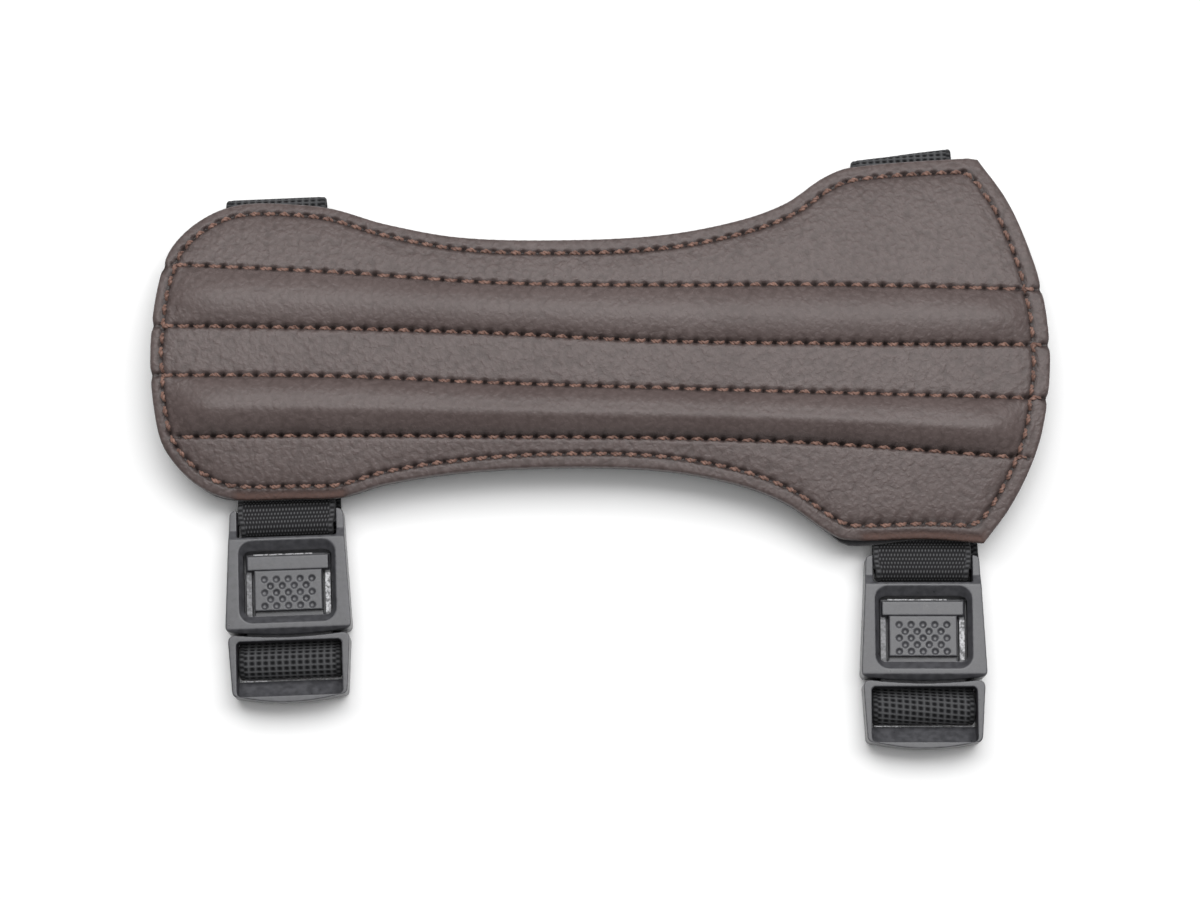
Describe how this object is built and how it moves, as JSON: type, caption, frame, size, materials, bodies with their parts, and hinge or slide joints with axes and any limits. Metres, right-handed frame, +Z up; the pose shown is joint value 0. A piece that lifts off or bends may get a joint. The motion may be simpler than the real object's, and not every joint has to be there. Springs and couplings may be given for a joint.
{
  "type": "archery arm guard",
  "caption": "Ribbed leather forearm guard with a waisted outline, lined at the back and held by elastic straps with plastic side buckles.",
  "frame": {"origin": "centre of the bounding box on the surface that the guard lies on", "axes": "+X along the forearm from the wrist end to the wide end, +Y across it towards the folded straps, +Z up out of the ribbed face"},
  "size_m": [0.1771, 0.1215, 0.0172],
  "materials": {
    "leather": "grey-brown leather with a fine grain and a soft sheen",
    "lining": "charcoal felted lining",
    "elastic": "dark grey ribbed elastic",
    "webbing": "near-black fine woven webbing",
    "plastic": "mid-grey moulded plastic, satin"
  },
  "bodies": {
    "root": {"face_panel": "leather", "back_panel": "lining", "wrist_strap": "elastic", "forearm_strap": "elastic", "wrist_loop": "webbing", "forearm_loop": "webbing", "wrist_buckle_body": "plastic", "forearm_buckle_body": "plastic", "wrist_buckle_tongue": "plastic", "forearm_buckle_tongue": "plastic"}
  },
  "joints": []
}
